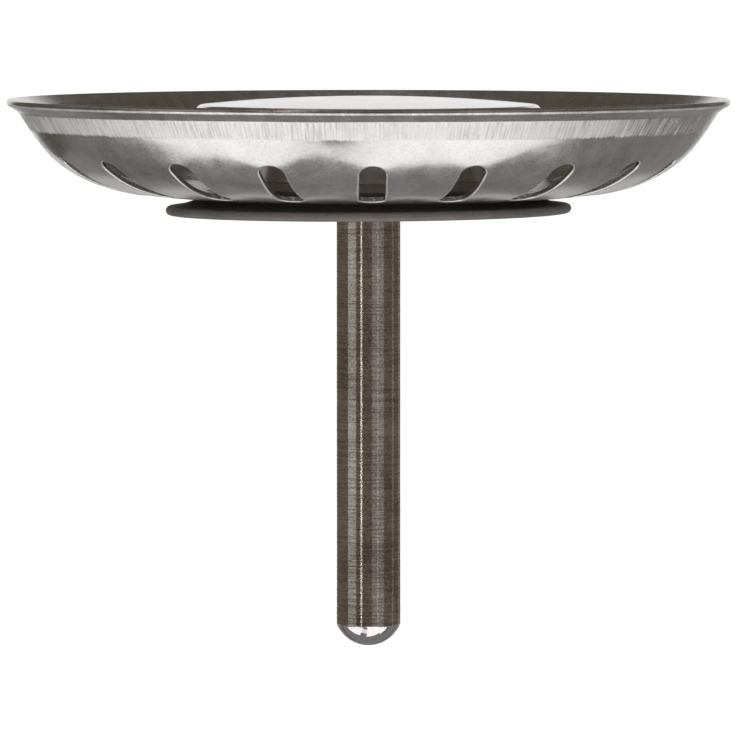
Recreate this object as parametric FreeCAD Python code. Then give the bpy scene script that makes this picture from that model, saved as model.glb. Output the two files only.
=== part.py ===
import FreeCAD, Part

import math
import os

# Strainer plug of a kitchen sink waste, in millimetres.
# The origin is on the stem's axis in the plane of the seal's underside, and +Z runs up the axis.

# Pressed basket
SHEET = 0.6
RIM_DIAMETER = 84.0
BASKET_DEPTH = 10.8  # rim's outer edge down to the underside of the floor
FLOOR_SWEEP_RADIUS = 38.0  # underside, between the flat floor and the shoulder
FLOOR_SWEEP_TURN = 14.0  # degrees
WALL_SLOPE = 57.5  # degrees from level
BAND_HEIGHT = 2.2  # straight part of the wall under the lip
LIP_SLOPE = 28.0  # degrees from level
LIP_LENGTH = 1.3
LIP_BEND_RADIUS = 0.8
DEBURR = 0.12  # chamfer on the sheet's cut edges

# Drain slots
SLOT_COUNT = 20
SLOT_WIDTH = 2.9
SLOT_TO_RIM = 5.25  # radial distance from the slot's outer end to the rim's edge
SLOT_TO_SEAL = 4.1  # radial distance from the slot's inner end to the seal's edge

# Seal
SEAL_DIAMETER = 47.0
SEAL_HUB_DIAMETER = 39.0
SEAL_HUB_THICKNESS = 1.9
SEAL_EDGE_THICKNESS = 1.05  # the edge is fully rounded
SEAL_RECESS = 0.4  # the stem's shoulder sits this far inside the seal

# Stem
STEM_DIAMETER = 7.5
STEM_LENGTH = 47.9  # seal's underside to the edge of the domed tip
STEM_TIP_HEIGHT = 2.6
SHOULDER_CHAMFER = 0.3  # edge of the shoulder under the neck
NECK_DIAMETER = 6.2
SPIGOT_DIAMETER = 5.0
SPIGOT_ENGAGEMENT = 6.5
SPIGOT_CHAMFER = 0.5

# Knob and the post that carries it
KNOB_DIAMETER = 40.0
KNOB_RISE = 0.75  # crown of the knob above the rim's outer edge
KNOB_CROWN = 1.0  # height of the dome over the knob's diameter
KNOB_SHEET = 0.8  # also the knob's outer edge radius, over a sharp inner corner
KNOB_GAP = 1.6  # skirt's lower edge above the basket's floor
POST_DIAMETER = 12.0
POST_FOOT_THICKNESS = 2.0  # wide foot that spreads the clamping over the thin floor
FOOT_TO_SKIRT = 4.2  # radial space between the foot and the inside of the knob's skirt
POST_CHAMFER = 0.4
POST_BORE_SPARE = 1.0  # bore beyond the end of the spigot
DRILL_POINT = 59.0  # degrees, half angle

# Clearances
RUBBER_FIT = 0.05
SPIGOT_FIT = 0.05
FLOOR_HOLE_FIT = 0.15

# Heights that several pieces share
FLOOR_UNDER = SEAL_HUB_THICKNESS
FLOOR_TOP = FLOOR_UNDER + SHEET
RIM_EDGE = FLOOR_UNDER + BASKET_DEPTH
KNOB_TOP = RIM_EDGE + KNOB_RISE
SPIGOT_TOP = FLOOR_TOP + SPIGOT_ENGAGEMENT

# Radii that several pieces share
SPIGOT_RADIUS = SPIGOT_DIAMETER / 2
CROWN_RADIUS = ((KNOB_DIAMETER / 2) ** 2 + KNOB_CROWN**2) / (2 * KNOB_CROWN)

# Slopes of the pressed section
SWEEP_TURN = math.radians(FLOOR_SWEEP_TURN)
WALL = math.radians(WALL_SLOPE)
LIP = math.radians(LIP_SLOPE)

# The shoulder takes up the height that the sweep, the band and the lip leave
SWEEP_HEIGHT = FLOOR_SWEEP_RADIUS * (1 - math.cos(SWEEP_TURN))
LIP_HEIGHT = LIP_LENGTH * math.sin(LIP) + LIP_BEND_RADIUS * (math.cos(LIP) - math.cos(WALL))
SHOULDER_RADIUS = (BASKET_DEPTH - SWEEP_HEIGHT - BAND_HEIGHT - LIP_HEIGHT) / (
    math.cos(SWEEP_TURN) - math.cos(WALL)
)

# The lip's lower corner stands out so that the edge measures the rim's diameter once it is chamfered
LIP_CORNER = RIM_DIAMETER / 2 + DEBURR * math.sin(LIP)

# The flat floor takes up the radius that the rest of the section leaves
LIP_WIDTH = LIP_LENGTH * math.cos(LIP) + LIP_BEND_RADIUS * (math.sin(WALL) - math.sin(LIP))
BAND_WIDTH = BAND_HEIGHT / math.tan(WALL)
SHOULDER_WIDTH = SHOULDER_RADIUS * (math.sin(WALL) - math.sin(SWEEP_TURN))
SWEEP_WIDTH = FLOOR_SWEEP_RADIUS * math.sin(SWEEP_TURN)
FLOOR_RADIUS = LIP_CORNER - LIP_WIDTH - BAND_WIDTH - SHOULDER_WIDTH - SWEEP_WIDTH


def at(radius, height):
    """Point of a half section, which lies in the XZ plane."""
    return FreeCAD.Vector(radius, 0, height)


def turned(start, *moves):
    """Solid turned from a closed half section: each move is (end,) for a line or (middle, end) for an arc."""
    edges = []
    here = start
    for move in moves + ((start,),):
        end = move[-1]
        if len(move) == 2:
            edges.append(Part.Arc(here, move[0], end).toShape())
        else:
            edges.append(Part.makeLine(here, end))
        here = end
    section = Part.Face(Part.Wire(edges))
    return section.revolve(FreeCAD.Vector(0, 0, 0), FreeCAD.Vector(0, 0, 1), 360)


def deburred(solid, corners):
    """Solid with the circular edges that run through the given section points chamfered."""
    edges = []
    for edge in solid.Edges:
        if not edge.Degenerated and isinstance(edge.Curve, Part.Circle):
            point = at(edge.Curve.Radius, edge.Curve.Center.z)
            if any(point.distanceToPoint(corner) < 1e-6 for corner in corners):
                edges.append(edge)
    return solid.makeChamfer(DEBURR, edges)


def valley(centre, radius, slope):
    """Point of an arc that curves up, where it has the given slope."""
    return at(centre[0] + radius * math.sin(slope), centre[1] - radius * math.cos(slope))


def crest(centre, radius, slope):
    """Point of an arc that curves down, where it has the given slope."""
    return at(centre[0] - radius * math.sin(slope), centre[1] + radius * math.cos(slope))


def sweep_centre():
    return FLOOR_RADIUS, FLOOR_UNDER + FLOOR_SWEEP_RADIUS


def shoulder_centre():
    along = FLOOR_SWEEP_RADIUS - SHOULDER_RADIUS
    radius, height = sweep_centre()
    return radius + along * math.sin(SWEEP_TURN), height - along * math.cos(SWEEP_TURN)


def lip_centre():
    top = valley(shoulder_centre(), SHOULDER_RADIUS, WALL) + at(BAND_WIDTH, BAND_HEIGHT)
    return top.x + LIP_BEND_RADIUS * math.sin(WALL), top.z - LIP_BEND_RADIUS * math.cos(WALL)


def sheet_points(inset):
    """Points of the pressed section from the floor's edge out to the lip, set in from the underside."""
    sweep = FLOOR_SWEEP_RADIUS - inset
    shoulder = SHOULDER_RADIUS - inset
    bend = LIP_BEND_RADIUS + inset
    lip_end = at(LIP_CORNER - inset * math.sin(LIP), RIM_EDGE + inset * math.cos(LIP))
    return [
        at(FLOOR_RADIUS, FLOOR_UNDER + inset),
        valley(sweep_centre(), sweep, SWEEP_TURN / 2),
        valley(sweep_centre(), sweep, SWEEP_TURN),
        valley(shoulder_centre(), shoulder, (SWEEP_TURN + WALL) / 2),
        valley(shoulder_centre(), shoulder, WALL),
        crest(lip_centre(), bend, WALL),
        crest(lip_centre(), bend, (WALL + LIP) / 2),
        crest(lip_centre(), bend, LIP),
        lip_end,
    ]


def underside_at(radius):
    """Point of the basket's underside at a radius on the sweep, the shoulder or the band."""
    sweep_end = FLOOR_RADIUS + SWEEP_WIDTH
    shoulder_end = sweep_end + SHOULDER_WIDTH
    if radius <= sweep_end:
        slope = math.asin((radius - FLOOR_RADIUS) / FLOOR_SWEEP_RADIUS)
        return valley(sweep_centre(), FLOOR_SWEEP_RADIUS, slope)
    if radius <= shoulder_end:
        slope = math.asin((radius - sweep_end) / SHOULDER_RADIUS + math.sin(SWEEP_TURN))
        return valley(shoulder_centre(), SHOULDER_RADIUS, slope)
    band_start = valley(shoulder_centre(), SHOULDER_RADIUS, WALL)
    return band_start + at(radius - shoulder_end, (radius - shoulder_end) * math.tan(WALL))


def slot_punch():
    """Straight obround punch for the slot on +X, square to the chord that the slot spans."""
    inner = underside_at(SEAL_DIAMETER / 2 + SLOT_TO_SEAL)
    outer = underside_at(RIM_DIAMETER / 2 - SLOT_TO_RIM)
    along = (outer - inner).normalize()
    across = FreeCAD.Vector(0, SLOT_WIDTH / 2, 0)
    through = at(-along.z, along.x) * SLOT_WIDTH
    near = inner + along * (SLOT_WIDTH / 2)
    far = outer - along * (SLOT_WIDTH / 2)
    sides = [
        Part.makeLine(near + across, far + across),
        Part.Arc(far + across, outer, far - across).toShape(),
        Part.makeLine(far - across, near - across),
        Part.Arc(near - across, inner, near + across).toShape(),
    ]
    face = Part.Face(Part.Wire(sides))
    face.translate(-through)
    return face.extrude(through * 2)


def strainer_basket():
    """Pressed bowl with a turned-out lip, a hole for the spigot and a ring of slots."""
    hole = SPIGOT_RADIUS + FLOOR_HOLE_FIT
    under = sheet_points(0)
    top = sheet_points(SHEET)
    bowl = turned(
        at(hole, FLOOR_UNDER),
        (under[0],),
        (under[1], under[2]),
        (under[3], under[4]),
        (under[5],),
        (under[6], under[7]),
        (under[8],),
        (top[8],),
        (top[7],),
        (top[6], top[5]),
        (top[4],),
        (top[3], top[2]),
        (top[1], top[0]),
        (at(hole, FLOOR_TOP),),
    )
    bowl = deburred(bowl, [under[8], top[8]])
    punches = []
    for i in range(SLOT_COUNT):
        punch = slot_punch()
        punch.rotate(FreeCAD.Vector(0, 0, 0), FreeCAD.Vector(0, 0, 1), i * 360 / SLOT_COUNT - 90)
        punches.append(punch)
    return bowl.cut(punches)


def crown_height(radius, inset):
    """Height of the knob's dome at a radius, set in from its outside."""
    sphere = CROWN_RADIUS - inset
    return KNOB_TOP - CROWN_RADIUS + math.sqrt(sphere**2 - radius**2)


def grip_knob():
    """Pressed cap: a low dome with a straight skirt that stops short of the basket's floor."""
    radius = KNOB_DIAMETER / 2
    foot = FLOOR_TOP + KNOB_GAP
    corner = radius - KNOB_SHEET
    # the outer edge is an arc about the inner corner, tangent to the dome and the skirt
    inner_corner = at(corner, crown_height(corner, KNOB_SHEET))
    tilt = math.asin(corner / (CROWN_RADIUS - KNOB_SHEET))
    halfway = (tilt + math.pi / 2) / 2
    tangent = CROWN_RADIUS * math.sin(tilt)
    cap = turned(
        at(0, KNOB_TOP),
        (at(tangent / 2, crown_height(tangent / 2, 0)), at(tangent, crown_height(tangent, 0))),
        (inner_corner + at(math.sin(halfway), math.cos(halfway)) * KNOB_SHEET, at(radius, inner_corner.z)),
        (at(radius, foot),),
        (at(corner, foot),),
        (inner_corner,),
        (at(corner / 2, crown_height(corner / 2, KNOB_SHEET)), at(0, KNOB_TOP - KNOB_SHEET)),
    )
    return deburred(cap, [at(radius, foot), at(corner, foot)])


def knob_post():
    """Turned post with a wide foot, between the basket's floor and the knob's crown, bored for the spigot."""
    radius = POST_DIAMETER / 2
    foot = KNOB_DIAMETER / 2 - KNOB_SHEET - FOOT_TO_SKIRT
    foot_top = FLOOR_TOP + POST_FOOT_THICKNESS
    bore = SPIGOT_RADIUS + SPIGOT_FIT
    bore_end = SPIGOT_TOP + POST_BORE_SPARE
    return turned(
        at(bore, FLOOR_TOP),
        (at(foot - POST_CHAMFER, FLOOR_TOP),),
        (at(foot, FLOOR_TOP + POST_CHAMFER),),
        (at(foot, foot_top - POST_CHAMFER),),
        (at(foot - POST_CHAMFER, foot_top),),
        (at(radius, foot_top),),
        (at(radius, crown_height(radius, KNOB_SHEET)),),
        (at(radius / 2, crown_height(radius / 2, KNOB_SHEET)), at(0, KNOB_TOP - KNOB_SHEET)),
        (at(0, bore_end + bore / math.tan(math.radians(DRILL_POINT))),),
        (at(bore, bore_end),),
    )


def sealing_washer():
    """Moulded rubber washer: a flat hub under the floor that thins to a fully rounded edge."""
    hole = NECK_DIAMETER / 2 + RUBBER_FIT
    recess = STEM_DIAMETER / 2 + RUBBER_FIT
    edge = SEAL_EDGE_THICKNESS / 2
    centre = at(SEAL_DIAMETER / 2 - edge, edge)
    hub = at(SEAL_HUB_DIAMETER / 2, SEAL_HUB_THICKNESS)
    # the slope from the hub is tangent to the rounded edge
    run = hub - centre
    slope = math.acos(edge / run.Length) - math.atan2(-run.x, run.z)
    halfway = (slope + math.pi) / 2
    return turned(
        at(hole, SEAL_RECESS),
        (at(recess, SEAL_RECESS),),
        (at(recess, 0),),
        (at(centre.x, 0),),
        (
            centre + at(math.sin(halfway), math.cos(halfway)) * edge,
            centre + at(math.sin(slope), math.cos(slope)) * edge,
        ),
        (hub,),
        (at(hole, SEAL_HUB_THICKNESS),),
    )


def lift_stem():
    """Turned rod with a domed tip, a neck that holds the washer and a spigot that screws into the post."""
    radius = STEM_DIAMETER / 2
    neck = NECK_DIAMETER / 2
    dome = (radius**2 + STEM_TIP_HEIGHT**2) / (2 * STEM_TIP_HEIGHT)
    tip = -STEM_LENGTH - STEM_TIP_HEIGHT
    half = math.asin(radius / dome) / 2
    return turned(
        at(0, tip),
        (at(dome * math.sin(half), tip + dome * (1 - math.cos(half))), at(radius, -STEM_LENGTH)),
        (at(radius, SEAL_RECESS - SHOULDER_CHAMFER),),
        (at(radius - SHOULDER_CHAMFER, SEAL_RECESS),),
        (at(neck, SEAL_RECESS),),
        (at(neck, FLOOR_UNDER),),
        (at(SPIGOT_RADIUS, FLOOR_UNDER),),
        (at(SPIGOT_RADIUS, SPIGOT_TOP - SPIGOT_CHAMFER),),
        (at(SPIGOT_RADIUS - SPIGOT_CHAMFER, SPIGOT_TOP),),
        (at(0, SPIGOT_TOP),),
    )


os.makedirs("parts", exist_ok=True)
strainer_basket().exportStep("parts/strainer_basket.step")
grip_knob().exportStep("parts/grip_knob.step")
knob_post().exportStep("parts/knob_post.step")
sealing_washer().exportStep("parts/sealing_washer.step")
lift_stem().exportStep("parts/lift_stem.step")
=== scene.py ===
import math

import bmesh
import bpy
import numpy as np
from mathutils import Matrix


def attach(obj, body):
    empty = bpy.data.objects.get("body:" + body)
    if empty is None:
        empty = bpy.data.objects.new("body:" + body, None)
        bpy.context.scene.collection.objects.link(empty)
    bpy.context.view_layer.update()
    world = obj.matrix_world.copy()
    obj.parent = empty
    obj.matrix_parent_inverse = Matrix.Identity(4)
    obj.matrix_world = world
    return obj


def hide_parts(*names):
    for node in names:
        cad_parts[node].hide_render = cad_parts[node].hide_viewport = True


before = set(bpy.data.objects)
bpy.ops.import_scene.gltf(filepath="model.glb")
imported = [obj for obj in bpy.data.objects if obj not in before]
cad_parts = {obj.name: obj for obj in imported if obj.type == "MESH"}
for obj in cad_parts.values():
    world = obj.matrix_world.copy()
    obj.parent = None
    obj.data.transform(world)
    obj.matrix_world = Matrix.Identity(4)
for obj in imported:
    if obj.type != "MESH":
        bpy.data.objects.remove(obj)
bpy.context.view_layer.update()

MM = 0.001

# Sizes that the pieces share with the CAD model, in millimetres
SHEET = 0.6
RIM_RADIUS = 42.0
FLOOR_UNDER = 1.9
BASKET_DEPTH = 10.8
SWEEP_RADIUS = 38.0
SWEEP_TURN = math.radians(14.0)
WALL = math.radians(57.5)
LIP_BEND = 0.8
CENTRE_HOLE = 2.65
SLOT_COUNT = 20
SLOT_WIDTH = 2.9
SLOT_INNER = 27.6
SLOT_OUTER = 36.75
SEAL_RADIUS = 23.5
SEAL_HUB_RADIUS = 19.5
SEAL_EDGE = 1.05
SEAL_HOLE = 3.15
SEAL_RECESS_RADIUS = 3.8
SEAL_RECESS = 0.4
STEM_LENGTH = 47.9

# Lip as the photograph shows it: its root lies 0.3 mm lower on the wall than in the CAD model
BAND_HEIGHT = 1.91
LIP = math.radians(33.5)
LIP_LENGTH = 1.7

# Rounding and bending that the press and the punch leave
LIP_ROLL = 0.45
LIP_ROUND = 0.12
SLOT_ROLL_OUTSIDE = 0.22
SLOT_ROLL_INSIDE = 0.08
SLOT_FLARE = 0.14

# Hollow of the rubber's upper slope, as a power, and the droop and tilt of its edge
SEAL_HOLLOW = 1.8
SEAL_DROOP = 0.12
SEAL_TILT = 0.2
SEAL_TILT_TURN = math.radians(-45)

# Scuffed band: depths of its edges below the rim, their raggedness, and where it thins out to the sides
SCUFF_LOW = 3.0
SCUFF_HIGH = 1.1
SCUFF_RAGGED = 0.12
SCUFF_SOFT = 0.08
SCUFF_LEFT_END = -40
SCUFF_LEFT_FULL = -34
SCUFF_RIGHT_FULL = 20
SCUFF_RIGHT_END = 38

# Spans over which the stem's finish gives way to the post's above it and to the tip's below it
POST_SOFT = 1.0
TIP_SOFT = 0.1

# Colours of the finishes, each from its darkest to its palest
STEEL = ((0.53, 0.52, 0.515), (0.655, 0.645, 0.635))
SCUFFED = ((0.66, 0.655, 0.645), (0.98, 0.975, 0.965))
# Rubbed edges: coloured paler than the steel, which also paints a bright highlight along them
WORN_AND_GLINT = ((0.55, 0.535, 0.515), (0.88, 0.865, 0.845))
KNOB = ((0.59, 0.57, 0.545), (0.63, 0.615, 0.595))
TURNED = ((0.4, 0.355, 0.32), (0.98, 0.925, 0.875))
POLISHED = ((0.62, 0.61, 0.6), (0.66, 0.65, 0.64))
POST = ((0.75, 0.675, 0.62), (0.85, 0.765, 0.7))
RUBBER = ((0.09, 0.0765, 0.07), (0.138, 0.122, 0.112))

# Camera, from the outline of the photograph, in metres
CAMERA_DISTANCE = 0.650
CAMERA_HEIGHT = 0.03045
CAMERA_PITCH = math.radians(4.266)
CAMERA_TURN = math.radians(-0.75)
CAMERA_PAN = math.radians(0.01)
CAMERA_LENS = 274.8
CAMERA_CLIP = 0.01

# Studio, in metres: the floor, the light on the object and the distances of the cards
FLOOR_LEVEL = -0.25
FLOOR_SIZE = 80
FLOOR_GLOW = 0.55
AMBIENT = 0.55
LIGHT_SIZE = 0.8
TENT = 1.5
LINING = 1.4
PANELS = 0.9
STRIPS = 0.8

# Colours of the cards that the metal mirrors
DARK = (0.115, 0.098, 0.084)
GROUND = (0.25, 0.248, 0.246)
DIM_GROUND = (0.155, 0.147, 0.14)
HALF_GROUND = (0.205, 0.198, 0.192)
PALE_GROUND = (0.57, 0.56, 0.55)
PANEL = (0.38, 0.369, 0.358)
STRIP = (2.75, 2.6, 2.48)
SOFT_PANEL = (0.245, 0.237, 0.23)
SOFT_STRIP = (0.5, 0.487, 0.475)
DIM_STRIP = (0.27, 0.26, 0.255)
TOP_PANEL = (0.9, 0.9, 0.9)
LOWER_PANEL = (1.5, 1.5, 1.5)
MIDDLE_PANEL = (1.1, 1.1, 1.1)


# Section of the pressed sheet

FLOOR_STEPS = 8
SWEEP_STEPS = 24
SHOULDER_STEPS = 48
BEND_STEPS = 7


def section_sizes():
    """Radius of the flat floor, radius of the shoulder and height of the rim's edge."""
    rim = FLOOR_UNDER + BASKET_DEPTH
    lip_height = LIP_LENGTH * math.sin(LIP) + LIP_BEND * (math.cos(LIP) - math.cos(WALL))
    sweep_height = SWEEP_RADIUS * (1 - math.cos(SWEEP_TURN))
    shoulder_height = BASKET_DEPTH - sweep_height - BAND_HEIGHT - lip_height
    shoulder = shoulder_height / (math.cos(SWEEP_TURN) - math.cos(WALL))
    lip_width = LIP_LENGTH * math.cos(LIP) + LIP_BEND * (math.sin(WALL) - math.sin(LIP))
    shoulder_width = shoulder * (math.sin(WALL) - math.sin(SWEEP_TURN))
    flat = RIM_RADIUS - lip_width - BAND_HEIGHT / math.tan(WALL) - shoulder_width
    return flat - SWEEP_RADIUS * math.sin(SWEEP_TURN), shoulder, rim


FLOOR_RADIUS, SHOULDER_RADIUS, RIM_EDGE = section_sizes()


def valley(centre, radius, slopes):
    """Points of an arc that is hollow upwards, where it has the given slopes."""
    return np.stack([centre[0] + radius * np.sin(slopes), centre[1] - radius * np.cos(slopes)], -1)


def sheet_section(inset):
    """Points of the sheet from the centre hole out to the lip, set in from the underside."""
    sweep = np.array([FLOOR_RADIUS, FLOOR_UNDER + SWEEP_RADIUS])
    along = SWEEP_RADIUS - SHOULDER_RADIUS
    shoulder = sweep + along * np.array([math.sin(SWEEP_TURN), -math.cos(SWEEP_TURN)])
    band_start = valley(shoulder, SHOULDER_RADIUS, np.array(WALL))
    band_end = band_start + np.array([BAND_HEIGHT / math.tan(WALL), BAND_HEIGHT])
    bend = band_end + LIP_BEND * np.array([math.sin(WALL), -math.cos(WALL)])
    lip_end = np.array([RIM_RADIUS, RIM_EDGE]) + inset * np.array([-math.sin(LIP), math.cos(LIP)])
    height = FLOOR_UNDER + inset
    floor = np.linspace([CENTRE_HOLE, height], [FLOOR_RADIUS, height], FLOOR_STEPS)
    low = valley(sweep, SWEEP_RADIUS - inset, np.linspace(0, SWEEP_TURN, SWEEP_STEPS))
    high = valley(shoulder, SHOULDER_RADIUS - inset, np.linspace(SWEEP_TURN, WALL, SHOULDER_STEPS))
    turns = np.linspace(WALL, LIP, BEND_STEPS)
    over = bend + (LIP_BEND + inset) * np.stack([-np.sin(turns), np.cos(turns)], -1)
    return np.concatenate([floor, low[1:], high[1:], over, lip_end[None]])


UNDERSIDE = sheet_section(0)
TOPSIDE = sheet_section(SHEET)


def sheet_height(radius, inset):
    section = sheet_section(inset)
    return np.interp(radius, section[:, 0], section[:, 1])


def sheet_slope(radius):
    steps = np.diff(UNDERSIDE, axis=0)
    middles = (UNDERSIDE[1:, 0] + UNDERSIDE[:-1, 0]) / 2
    return np.interp(radius, middles, np.arctan2(steps[:, 1], steps[:, 0]))


# Meshes

SEAM_GAP = 2e-6


def mesh_object(name, points, faces, material):
    mesh = bpy.data.meshes.new(name)
    mesh.from_pydata((np.asarray(points) * MM).tolist(), [], faces)
    mesh.shade_smooth()
    mesh.materials.append(material)
    piece = bpy.data.objects.new(name, mesh)
    bpy.context.scene.collection.objects.link(piece)
    return piece


def turned_points(section, angles):
    """Points of a section turned about the axis, one row of angles for each point of the section."""
    radius = section[:, 0][:, None]
    height = np.broadcast_to(section[:, 1][:, None], (len(section), len(angles)))
    return np.stack([radius * np.cos(angles), radius * np.sin(angles), height], -1)


def ring_faces(rows, columns, start, closed=False):
    """Quads between rings of points, with the last ring joined to the first if closed."""
    faces = []
    for i in range(rows if closed else rows - 1):
        here = start + i * columns
        there = start + (i + 1) % rows * columns
        for j in range(columns):
            k = (j + 1) % columns
            faces.append((here + j, here + k, there + k, there + j))
    return faces


def join_seams(piece):
    """Merges the points that neighbouring patches share and turns every face outwards."""
    work = bmesh.new()
    work.from_mesh(piece.data)
    bmesh.ops.remove_doubles(work, verts=work.verts, dist=SEAM_GAP)
    bmesh.ops.recalc_face_normals(work, faces=work.faces)
    work.to_mesh(piece.data)
    work.free()
    piece.modifiers.new("edge_shading", "WEIGHTED_NORMAL").keep_sharp = False


# Basket with its ring of punched slots

FRONT = -math.pi / 2
SLOT_ARC = 16
SLOT_SIDE = 20
PATCH_INNER = 25.6
PATCH_OUTER = 38.6
PATCH_HALF = math.pi / SLOT_COUNT
TABLE_MARGIN = 1
TABLE_STEPS = 2000
RIM_STEPS = SLOT_COUNT * SLOT_ARC // 2
RING_SHARES = (1.0, 0.84, 0.68, 0.53, 0.39, 0.27, 0.16, 0.07, 0.02)
ROLL_STEPS = 5
INNER_ROLL_STEPS = 4
EDGE_STEPS = 7
END_CLEAR = 0.05
ROLL_LEAD = 0.06


def slot_outline(grow, inset):
    """Radius and angle of the points round a slot, grown by a roll, on the sheet at an inset."""
    inner = np.array([SLOT_INNER, sheet_height(SLOT_INNER, 0)])
    outer = np.array([SLOT_OUTER, sheet_height(SLOT_OUTER, 0)])
    length = np.linalg.norm(outer - inner)
    along = (outer - inner) / length
    half = SLOT_WIDTH / 2 + grow
    near, far = SLOT_WIDTH / 2, length - SLOT_WIDTH / 2
    side = np.linspace(near, far, SLOT_SIDE + 1)
    turn = np.linspace(-math.pi / 2, math.pi / 2, SLOT_ARC + 1)[:-1]
    u = np.concatenate([side[:-1], far + half * np.cos(turn), side[:0:-1], near - half * np.cos(turn)])
    y = np.concatenate([
        np.full(SLOT_SIDE, -half), half * np.sin(turn), np.full(SLOT_SIDE, half), -half * np.sin(turn),
    ])
    table = np.linspace(PATCH_INNER - TABLE_MARGIN, PATCH_OUTER + TABLE_MARGIN, TABLE_STEPS)
    heights = sheet_height(table, inset)
    radius = np.empty_like(u)
    for i in range(len(u)):
        across = np.sqrt(table**2 - y[i] ** 2) - inner[0]
        radius[i] = np.interp(u[i], across * along[0] + (heights - inner[1]) * along[1], table)
    return np.stack([radius, np.arcsin(y / radius)], -1)


def patch_outline():
    """Radius and angle of the points round a slot's sector, one for each point of the slot's outline."""
    quarter = SLOT_ARC // 4
    side = np.linspace(PATCH_INNER, PATCH_OUTER, SLOT_SIDE + 2 * quarter + 1)
    end = np.linspace(-PATCH_HALF, PATCH_HALF, 2 * quarter + 1)[:-1]
    ends = np.ones(len(end))
    sides = np.full(len(side) - 1, PATCH_HALF)
    radius = np.concatenate([side[:-1], PATCH_OUTER * ends, side[:0:-1], PATCH_INNER * ends])
    angle = np.concatenate([-sides, end, sides, -end])
    return np.roll(np.stack([radius, angle], -1), -quarter, axis=0)


def sheet_ring(flat, inset, flare):
    """Points on the sheet at the given radii and angles, pushed out by the flare round the slot."""
    slope = sheet_slope(flat[:, 0])
    radius = flat[:, 0] + flare * np.sin(slope)
    height = sheet_height(flat[:, 0], inset) - flare * np.cos(slope)
    return np.stack([radius, flat[:, 1], height], -1)


def slot_sector():
    """Rings of points from the sector's edge on the underside, through the slot, to its edge on the top."""
    outline = patch_outline()
    rings = []
    under = slot_outline(SLOT_ROLL_OUTSIDE, 0)
    for share in RING_SHARES:
        rings.append(sheet_ring(under + share * (outline - under), 0, SLOT_FLARE * (1 - share) ** 2))
    for turn in np.linspace(0, math.pi / 2, ROLL_STEPS):
        grow = SLOT_ROLL_OUTSIDE * (1 - math.sin(turn))
        depth = SLOT_ROLL_OUTSIDE * (1 - math.cos(turn))
        rings.append(sheet_ring(slot_outline(grow, depth), depth, SLOT_FLARE))
    for turn in np.linspace(math.pi / 2, 0, INNER_ROLL_STEPS):
        grow = SLOT_ROLL_INSIDE * (1 - math.sin(turn))
        depth = SHEET - SLOT_ROLL_INSIDE * (1 - math.cos(turn))
        rings.append(sheet_ring(slot_outline(grow, depth), depth, SLOT_FLARE))
    top = slot_outline(SLOT_ROLL_INSIDE, SHEET)
    for share in RING_SHARES[::-1]:
        rings.append(sheet_ring(top + share * (outline - top), SHEET, SLOT_FLARE * (1 - share) ** 2))
    return np.stack(rings)


def lip_edge():
    """Points round the lip's cut edge, from the roll on its underside to the rounded corner on its top."""
    along = np.array([math.cos(LIP), math.sin(LIP)])
    up = np.array([-math.sin(LIP), math.cos(LIP)])
    points = []
    for start, radius, middle in ((-math.pi / 2, LIP_ROLL, LIP_ROLL), (0, LIP_ROUND, SHEET - LIP_ROUND)):
        inside = np.array([RIM_RADIUS, RIM_EDGE]) - along * radius + up * middle
        for turn in np.linspace(start, start + math.pi / 2, EDGE_STEPS):
            points.append(inside + radius * (along * math.cos(turn) + up * math.sin(turn)))
    return np.array(points)


def between(section, low, high):
    """Points of a section between two radii, with its ends on them."""
    inside = section[(section[:, 0] > low + END_CLEAR) & (section[:, 0] < high - END_CLEAR)]
    ends = [[r, np.interp(r, section[:, 0], section[:, 1])] for r in (low, high)]
    return np.concatenate([ends[:1], inside, ends[1:]])


def rim_section():
    """Points up the wall, round the lip and back down the inside, and how many lie on the wall."""
    wall = between(UNDERSIDE, PATCH_OUTER, UNDERSIDE[-1, 0] - (LIP_ROLL + ROLL_LEAD) * math.cos(LIP))
    inside = between(TOPSIDE, PATCH_OUTER, TOPSIDE[-1, 0] - LIP_ROUND * math.cos(LIP))[-2::-1]
    return np.concatenate([wall, lip_edge(), inside]), len(wall)


def basket(material):
    """Pressed bowl: a turned floor and rim joined to a ring of slots, with rolled edges marked for a rubbed
    finish and a painted highlight.
    """
    points, faces, worn_and_glint = [], [], []
    count = 0
    radius, angle, height = np.moveaxis(slot_sector(), -1, 0)
    rolled = np.zeros(radius.shape)
    roll_start = len(RING_SHARES) + 1
    # The outer half of each slot's roll gets the rubbed finish and the painted highlight
    rolled[roll_start:roll_start + ROLL_STEPS // 2] = 1
    for i in range(SLOT_COUNT):
        turned = angle + 2 * math.pi * i / SLOT_COUNT + FRONT
        sector = np.stack([radius * np.cos(turned), radius * np.sin(turned), height], -1)
        points.append(sector.reshape(-1, 3))
        faces += ring_faces(*radius.shape, count)
        worn_and_glint.append(rolled.ravel())
        count += radius.size
    angles = np.linspace(0, 2 * math.pi, RIM_STEPS, endpoint=False) - PATCH_HALF + FRONT
    rim, edge_start = rim_section()
    hub = np.concatenate([
        between(TOPSIDE, CENTRE_HOLE, PATCH_INNER)[::-1],
        between(UNDERSIDE, CENTRE_HOLE, PATCH_INNER),
    ])
    # The lower half of the lip's roll gets the rubbed finish and the painted highlight too
    for section, start, end in ((rim, edge_start, edge_start + EDGE_STEPS // 2), (hub, 0, 0)):
        points.append(turned_points(section, angles).reshape(-1, 3))
        faces += ring_faces(len(section), RIM_STEPS, count)
        marked = np.zeros((len(section), RIM_STEPS))
        marked[start:end] = 1
        worn_and_glint.append(marked.ravel())
        count += len(section) * RIM_STEPS
    piece = mesh_object("basket_shell", np.concatenate(points), faces, material)
    piece.data.attributes.new("worn_and_glint", "FLOAT", "POINT").data.foreach_set("value", np.concatenate(worn_and_glint))
    join_seams(piece)
    return piece


# Rubber washer, whose thin edge droops and tilts a little

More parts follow.
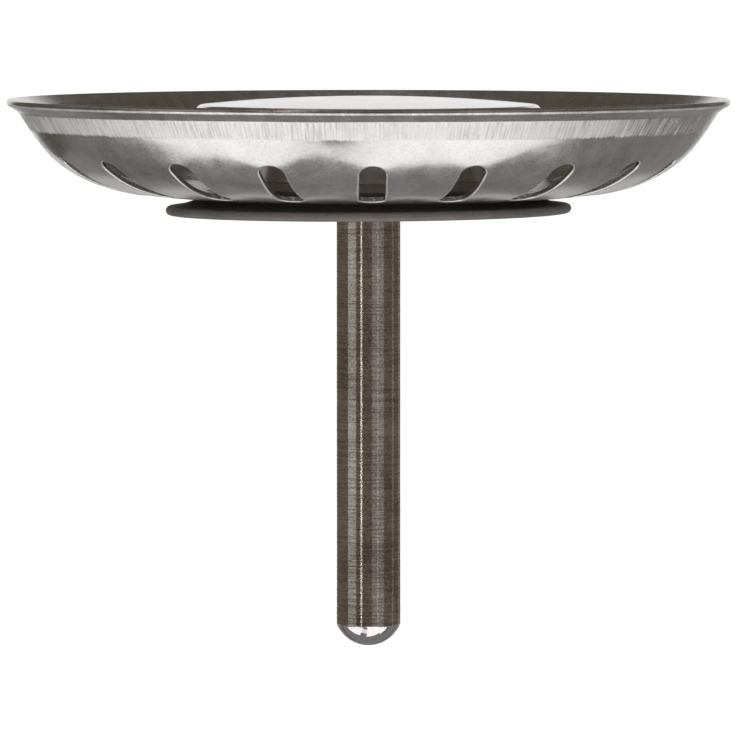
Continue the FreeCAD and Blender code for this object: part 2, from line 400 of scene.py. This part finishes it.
SEAL_TURN_STEPS = 192
SEAL_UNDER_STEPS = 12
SEAL_ROUND_STEPS = 13
SEAL_SLOPE_STEPS = 11
SEAL_TOP_STEPS = 8


def seal_section():
    """Points round the washer's section, from the recess out under it and back over its top."""
    edge = SEAL_EDGE / 2
    centre = np.array([SEAL_RADIUS - edge, edge])
    turns = np.linspace(-math.pi / 2, math.pi / 2, SEAL_ROUND_STEPS)
    rounded = centre + edge * np.stack([np.cos(turns), np.sin(turns)], -1)
    under = np.linspace([SEAL_RECESS_RADIUS, 0], rounded[0], SEAL_UNDER_STEPS)[:-1]
    share = np.linspace(0, 1, SEAL_SLOPE_STEPS)[1:]
    inwards = centre[0] + share * (SEAL_HUB_RADIUS - centre[0])
    slope = np.stack([inwards, SEAL_EDGE + share**SEAL_HOLLOW * (FLOOR_UNDER - SEAL_EDGE)], -1)
    top = np.linspace([SEAL_HUB_RADIUS, FLOOR_UNDER], [SEAL_HOLE, FLOOR_UNDER], SEAL_TOP_STEPS)[1:]
    recess = [[SEAL_HOLE, SEAL_RECESS], [SEAL_RECESS_RADIUS, SEAL_RECESS]]
    return np.concatenate([under, rounded, slope, top, recess])


def seal(material):
    """Moulded washer, drooped and tilted towards its edge, and kept under the bowl's floor."""
    section = seal_section()
    angles = np.linspace(0, 2 * math.pi, SEAL_TURN_STEPS, endpoint=False)
    points = turned_points(section, angles)
    still = SEAL_HUB_RADIUS / 2
    share = np.clip((section[:, 0] - still) / (SEAL_RADIUS - still), 0, 1) ** 2
    points[..., 2] += share[:, None] * (SEAL_TILT * np.cos(angles - SEAL_TILT_TURN) - SEAL_DROOP)
    points[..., 2] = np.minimum(points[..., 2], FLOOR_UNDER)
    faces = ring_faces(len(section), len(angles), 0, closed=True)
    piece = mesh_object("seal_washer", points.reshape(-1, 3), faces, material)
    join_seams(piece)
    return piece


# Materials

NEAR_AXIS = 1e-6


class Shading:
    """Node material with short calls for the nodes that the finishes share."""

    def __init__(self, name):
        self.material = bpy.data.materials.new(name)
        self.material.use_nodes = True
        self.nodes = self.material.node_tree.nodes
        self.shader = self.nodes["Principled BSDF"]
        self.place = self.nodes.new("ShaderNodeTexCoord")

    def link(self, source, target):
        self.material.node_tree.links.new(source, target)

    def set(self, **values):
        for name, value in values.items():
            self.shader.inputs[name.replace("_", " ")].default_value = value

    def feed(self, node, values):
        """Gives a node's inputs numbers or links, and returns its output."""
        for socket, value in zip(node.inputs, values):
            if isinstance(value, (int, float)):
                socket.default_value = value
            else:
                self.link(value, socket)
        return node.outputs[0]

    def math(self, operation, *values):
        node = self.nodes.new("ShaderNodeMath")
        node.operation = operation
        return self.feed(node, values)

    def vector(self, *values):
        return self.feed(self.nodes.new("ShaderNodeCombineXYZ"), values)

    def axes(self, vector):
        node = self.nodes.new("ShaderNodeSeparateXYZ")
        self.link(vector, node.inputs[0])
        return node.outputs

    def reach(self, x, y):
        """Distance from the axis."""
        squares = self.math("ADD", self.math("MULTIPLY", x, x), self.math("MULTIPLY", y, y))
        return self.math("SQRT", squares)

    def noise(self, vector, scale, detail):
        node = self.nodes.new("ShaderNodeTexNoise")
        self.link(vector, node.inputs["Vector"])
        node.inputs["Scale"].default_value = scale
        node.inputs["Detail"].default_value = detail
        return node.outputs["Fac"]

    def mark(self, name):
        """Number that the mesh's points carry."""
        node = self.nodes.new("ShaderNodeAttribute")
        node.attribute_name = name
        return node.outputs["Fac"]

    def ranged(self, value, low, high, to_low=0.0, to_high=1.0):
        node = self.nodes.new("ShaderNodeMapRange")
        self.link(value, node.inputs["Value"])
        for name, number in (("From Min", low), ("From Max", high), ("To Min", to_low), ("To Max", to_high)):
            node.inputs[name].default_value = number
        return node.outputs["Result"]

    def mix(self, share, first, second):
        """Colour between two others."""
        node = self.nodes.new("ShaderNodeMix")
        node.data_type = "RGBA"
        self.link(share, node.inputs[0])
        for socket, value in ((node.inputs[6], first), (node.inputs[7], second)):
            if isinstance(value, tuple):
                socket.default_value = (*value, 1)
            else:
                self.link(value, socket)
        return node.outputs[2]

    def blend(self, share, first, second):
        """Number between two others."""
        rise = self.math("SUBTRACT", second, first)
        return self.math("ADD", first, self.math("MULTIPLY", share, rise))

    def bump(self, height, distance, normal=None):
        node = self.nodes.new("ShaderNodeBump")
        node.inputs["Distance"].default_value = distance
        self.link(height, node.inputs["Height"])
        if normal is not None:
            self.link(normal, node.inputs["Normal"])
        return node.outputs["Normal"]

    def finish(self, colour, roughness, normal):
        for name, source in (("Base Color", colour), ("Roughness", roughness), ("Normal", normal)):
            self.link(source, self.shader.inputs[name])
        return self.material


def round_the_axis(s, radius, along):
    """Coordinates that run round the axis at a fixed radius, with the height squeezed by a share."""
    x, y, z = s.axes(s.place.outputs["Object"])
    scale = s.math("DIVIDE", radius, s.math("MAXIMUM", s.reach(x, y), NEAR_AXIS))
    return s.vector(s.math("MULTIPLY", x, scale), s.math("MULTIPLY", y, scale), s.math("MULTIPLY", z, along))


def scuff_share(s, streak, mottle):
    """Share of scuffing: a ragged band round the outside under the lip, which thins out to the sides."""
    x, _, z = s.axes(s.place.outputs["Object"])
    downward = s.axes(s.place.outputs["Normal"])[2]
    low, high = (RIM_EDGE - SCUFF_LOW) * MM, (RIM_EDGE - SCUFF_HIGH) * MM
    ragged, soft = SCUFF_RAGGED * MM, SCUFF_SOFT * MM
    uneven = s.ranged(s.blend(0.5, streak, mottle), 0.35, 0.65, -ragged, ragged)
    above = s.ranged(s.math("ADD", z, uneven), low - ragged, low + ragged)
    below = s.ranged(z, high + soft, high - soft)
    outside = s.ranged(downward, -0.15, -0.3)
    left = s.ranged(x, SCUFF_LEFT_END * MM, SCUFF_LEFT_FULL * MM, 0.46, 0.8)
    right = s.ranged(x, SCUFF_RIGHT_FULL * MM, SCUFF_RIGHT_END * MM, 0.8, 0.36)
    scratched = s.ranged(s.math("ADD", streak, s.math("MINIMUM", left, right)), 0.85, 1.15)
    return s.math("MULTIPLY", s.math("MULTIPLY", above, below), s.math("MULTIPLY", outside, scratched))


def pressed_steel():
    """Cold-pressed sheet: mottled satin steel, scuffed in a band under the lip, with rubbed edges whose
    paler colour is a painted highlight.
    """
    s = Shading("pressed_steel")
    place = s.place.outputs["Object"]
    streak = s.noise(round_the_axis(s, RIM_RADIUS * MM, 0.08), 4600, 3)
    mottle = s.noise(place, 420, 5)
    grain = s.noise(place, 3200, 3)
    # Rolled edges of the slots and the lip: rubbed and duller, with a paler colour that paints a highlight
    # along them
    worn_and_glint = s.mark("worn_and_glint")
    scuffed = scuff_share(s, streak, mottle)
    patchy = s.blend(s.ranged(s.noise(place, 260, 3), 0.35, 0.6, 0.75, 0.0), streak, 0.56)
    flecked = s.math("MULTIPLY", patchy, s.ranged(grain, 0.32, 0.5, 0.9, 1.0))
    pressed = s.mix(s.ranged(s.blend(0.45, mottle, grain), 0.38, 0.62), *STEEL)
    streaked = s.mix(s.ranged(flecked, 0.38, 0.6), *SCUFFED)
    edged = s.mix(s.ranged(s.blend(0.5, grain, mottle), 0.38, 0.62), *WORN_AND_GLINT)
    colour = s.mix(worn_and_glint, s.mix(scuffed, pressed, streaked), edged)
    plain = s.ranged(s.blend(0.4, mottle, grain), 0.35, 0.65, 0.18, 0.27)
    rubbed = s.ranged(streak, 0.3, 0.7, 0.52, 0.64)
    roughness = s.blend(worn_and_glint, s.blend(scuffed, plain, rubbed), 0.42)
    dull = s.math("MAXIMUM", s.math("MULTIPLY", scuffed, 0.16), s.math("MULTIPLY", worn_and_glint, 0.2))
    s.link(s.math("SUBTRACT", 1.0, dull), s.shader.inputs["Metallic"])
    normal = s.bump(mottle, 0.004 * MM)
    normal = s.bump(grain, 0.0005 * MM, normal)
    normal = s.bump(s.math("MULTIPLY", patchy, scuffed), 0.02 * MM, normal)
    return s.finish(colour, roughness, normal)


def knob_steel():
    """Satin cap with faint rings from polishing."""
    s = Shading("knob_steel")
    s.set(Metallic=1.0)
    place = s.place.outputs["Object"]
    x, y, z = s.axes(place)
    rings = s.noise(s.vector(s.reach(x, y), 0.0, z), 4200, 2)
    cloud = s.noise(place, 160, 3)
    colour = s.mix(s.ranged(cloud, 0.35, 0.65), *KNOB)
    roughness = s.ranged(s.blend(0.5, rings, cloud), 0.3, 0.7, 0.12, 0.2)
    return s.finish(colour, roughness, s.bump(rings, 0.0004 * MM))


def turned_steel():
    """Bar turned to fine rings, with a polished tip, and a duller post above the washer."""
    s = Shading("turned_steel")
    place = s.place.outputs["Object"]
    x, y, z = s.axes(place)
    squeezed = s.vector(s.math("MULTIPLY", x, 0.04), s.math("MULTIPLY", y, 0.04), z)
    rings = s.noise(squeezed, 5200, 2)
    speckle = s.noise(place, 5200, 2)
    cloud = s.noise(place, 240, 3)
    barrel = s.ranged(z, -(STEM_LENGTH + TIP_SOFT) * MM, -STEM_LENGTH * MM)
    stem = s.ranged(z, POST_SOFT * MM, 0.0)
    fine = s.blend(0.25, s.blend(0.6, rings, speckle), cloud)
    turned = s.mix(s.ranged(fine, 0.4, 0.6), *TURNED)
    polished = s.mix(s.ranged(cloud, 0.35, 0.65), *POLISHED)
    post = s.mix(s.ranged(fine, 0.4, 0.6), *POST)
    colour = s.mix(stem, post, s.mix(barrel, polished, turned))
    lined = s.ranged(s.blend(0.4, rings, speckle), 0.3, 0.7, 0.045, 0.1)
    dull = s.ranged(fine, 0.4, 0.6, 0.4, 0.5)
    roughness = s.blend(stem, dull, s.blend(barrel, 0.07, lined))
    s.link(s.blend(stem, 0.5, 1.0), s.shader.inputs["Metallic"])
    relief = s.math("MULTIPLY", rings, s.math("MULTIPLY", barrel, stem))
    return s.finish(colour, roughness, s.bump(relief, 0.04 * MM))


def seal_rubber():
    """Matt moulded rubber with a dusty bloom."""
    s = Shading("seal_rubber")
    s.set(Specular_IOR_Level=0.9)
    place = s.place.outputs["Object"]
    bloom = s.noise(place, 260, 4)
    grain = s.noise(place, 3800, 3)
    colour = s.mix(s.ranged(s.blend(0.5, bloom, grain), 0.35, 0.65), *RUBBER)
    roughness = s.ranged(bloom, 0.3, 0.7, 0.5, 0.7)
    return s.finish(colour, roughness, s.bump(grain, 0.012 * MM))


# Studio

CARD_ACROSS = 25
CARD_UP = 17


def background_rays(nodes, links):
    """One for the rays that see the background: the camera's, mirrored ones and those through glass."""
    path = nodes.new("ShaderNodeLightPath")
    total = path.outputs["Is Camera Ray"]
    for name in ("Is Glossy Ray", "Is Transmission Ray"):
        larger = nodes.new("ShaderNodeMath")
        larger.operation = "MAXIMUM"
        links.new(total, larger.inputs[0])
        links.new(path.outputs[name], larger.inputs[1])
        total = larger.outputs[0]
    return total


def studio_world():
    """White behind the object, and a lower even light on it."""
    world = bpy.data.worlds.new("studio")
    bpy.context.scene.world = world
    world.use_nodes = True
    nodes, links = world.node_tree.nodes, world.node_tree.links
    background = nodes["Background"]
    background.inputs["Color"].default_value = (1, 1, 1, 1)
    strength = nodes.new("ShaderNodeMapRange")
    links.new(background_rays(nodes, links), strength.inputs["Value"])
    strength.inputs["To Min"].default_value = AMBIENT
    strength.inputs["To Max"].default_value = 1.0
    links.new(strength.outputs["Result"], background.inputs["Strength"])


def studio_floor():
    """Wide pale floor that takes the object's shadow."""
    bpy.ops.mesh.primitive_plane_add(size=FLOOR_SIZE, location=(0, 0, FLOOR_LEVEL))
    floor = bpy.context.object
    floor.name = "studio_floor"
    s = Shading("floor_white")
    s.set(Base_Color=(0.9, 0.9, 0.9, 1), Roughness=0.9, Specular_IOR_Level=0.0, Emission_Color=(1, 1, 1, 1))
    rays = background_rays(s.nodes, s.material.node_tree.links)
    s.link(s.math("MULTIPLY", rays, FLOOR_GLOW), s.shader.inputs["Emission Strength"])
    floor.data.materials.append(s.material)


def grid_card(name, points, colour):
    """Card that only mirrored rays see, from a grid of points in metres."""
    rows, columns = points.shape[:2]
    faces = []
    for i in range(rows - 1):
        for j in range(columns - 1):
            here = i * columns + j
            faces.append((here, here + 1, here + columns + 1, here + columns))
    material = bpy.data.materials.new(name)
    material.use_nodes = True
    nodes, links = material.node_tree.nodes, material.node_tree.links
    glow = nodes.new("ShaderNodeEmission")
    glow.inputs["Color"].default_value = (*colour, 1)
    links.new(glow.outputs[0], nodes["Material Output"].inputs["Surface"])
    card = mesh_object(name, points.reshape(-1, 3) / MM, faces, material)
    card.visible_camera = False
    card.visible_diffuse = False
    card.visible_transmission = False
    card.visible_shadow = False


def dome_card(name, distance, turns, rises, colour):
    """Card that is a patch of a sphere, between two turns from the front and two rises, in degrees."""
    across = np.radians(np.linspace(*turns, CARD_ACROSS))
    up = np.radians(np.linspace(*rises, CARD_UP))
    turn, rise = np.meshgrid(across, up)
    directions = [np.sin(turn) * np.cos(rise), -np.cos(turn) * np.cos(rise), np.sin(rise)]
    grid_card(name, distance * np.stack(directions, -1), colour)


def floor_card(name, lift, sides, near, far, colour):
    """Card that lies just over the floor, with a level near edge and a far edge that may slant."""
    level = FLOOR_LEVEL + lift
    points = [[[x, near, level] for x in sides], [[x, y, level] for x, y in zip(sides, far)]]
    grid_card(name, np.array(points), colour)


def mirrored_tent():
    """Dark tent that is open low behind the object, with panels and strips round it and over it."""
    dome_card("tent_front", TENT, (-157, 157), (-12, 90), DARK)
    dome_card("tent_back_right", TENT, (157, 180), (22, 90), DARK)
    dome_card("tent_back_left", TENT, (180, 203), (18, 90), DARK)
    dome_card("tent_ring", LINING, (-120, 120), (13, 27), SOFT_PANEL)
    dome_card("tent_top", LINING, (-180, 180), (74, 90), TOP_PANEL)
    dome_card("panel_left", PANELS, (-79, -46), (-15, 12), PANEL)
    dome_card("strip_left", STRIPS, (-27.1, -25.3), (-30, 60), STRIP)
    dome_card("panel_right", PANELS, (12, 56), (-15, 12), SOFT_PANEL)
    dome_card("strip_right", STRIPS, (32, 34.5), (-30, 30), SOFT_STRIP)
    dome_card("strip_side", STRIPS, (95, 99), (-30, 30), DIM_STRIP)
    dome_card("strip_back", STRIPS, (136, 143), (-30, 30), DIM_STRIP)


def mirrored_ground():
    """Dark and grey ground, paler far behind the object, with bright panels low in front of it."""
    floor_card("ground_dark", 0.002, (-2.0, 2.0), -2.0, (1.0, 2.0), DARK)
    floor_card("ground_grey", 0.003, (-0.3, 0.3), -0.3, (1.3, 1.6), GROUND)
    floor_card("ground_pale", 0.004, (-0.18, 0.2), 0.43, (1.3, 1.6), PALE_GROUND)
    floor_card("ground_back_left", 0.004, (-0.3, -0.08), 0.17, (0.28, 0.28), DIM_GROUND)
    floor_card("ground_back_right", 0.004, (0.08, 0.3), 0.17, (0.28, 0.28), HALF_GROUND)
    floor_card("ground_far_left", 0.003, (-0.5, -0.3), 0.0, (0.4, 0.4), GROUND)
    floor_card("ground_far_right", 0.003, (0.3, 0.6), 0.0, (1.6, 1.6), GROUND)
    floor_card("ground_left", 0.004, (-0.3, -0.12), -0.3, (0.02, 0.02), DIM_GROUND)
    floor_card("ground_right", 0.004, (0.12, 0.3), -0.3, (0.02, 0.02), DIM_GROUND)
    floor_card("lower_panel_left", 0.006, (-0.36, -0.07), -0.26, (0.07, -0.003), LOWER_PANEL)
    floor_card("lower_panel_middle", 0.006, (-0.07, -0.015), -0.12, (-0.055, -0.055), MIDDLE_PANEL)
    floor_card("lower_panel_right", 0.006, (-0.015, 0.1), -0.26, (-0.003, -0.027), LOWER_PANEL)
    floor_card("lower_panel_side", 0.006, (0.1, 0.26), -0.26, (-0.004, -0.02), LOWER_PANEL)


def soft_light(name, place, watts):
    """Square lamp that faces the object and that no metal mirrors."""
    lamp = bpy.data.lights.new(name, "AREA")
    lamp.size = LIGHT_SIZE
    lamp.energy = watts
    light = bpy.data.objects.new(name, lamp)
    bpy.context.scene.collection.objects.link(light)
    light.location = place
    light.rotation_euler = (-light.location).to_track_quat("-Z", "Y").to_euler()
    light.visible_glossy = False


def camera():
    """Camera at the photograph's viewing angle."""
    data = bpy.data.cameras.new("camera")
    data.lens = CAMERA_LENS
    data.clip_start = CAMERA_CLIP
    item = bpy.data.objects.new("camera", data)
    bpy.context.scene.collection.objects.link(item)
    item.location = (
        CAMERA_DISTANCE * math.sin(CAMERA_TURN),
        -CAMERA_DISTANCE * math.cos(CAMERA_TURN),
        CAMERA_HEIGHT,
    )
    item.rotation_euler = (math.pi / 2 - CAMERA_PITCH, 0, CAMERA_TURN + CAMERA_PAN)
    bpy.context.scene.camera = item


# The object

for piece, node, slot in (
    (basket(pressed_steel()), "strainer_basket", "pressed_steel"),
    (seal(seal_rubber()), "sealing_washer", "seal_rubber"),
):
    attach(piece, "root")
    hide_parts(node)
bar = turned_steel()
for node, material in (("grip_knob", knob_steel()), ("knob_post", bar), ("lift_stem", bar)):
    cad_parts[node].data.materials.clear()
    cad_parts[node].data.materials.append(material)

studio_world()
studio_floor()
mirrored_tent()
mirrored_ground()
soft_light("key", (-0.6, -0.7, 1.0), 9)
soft_light("fill", (0.7, -0.5, 0.8), 5)
soft_light("low", (0.0, -1.0, -0.05), 4)
camera()
bpy.context.scene.view_settings.view_transform = "Standard"
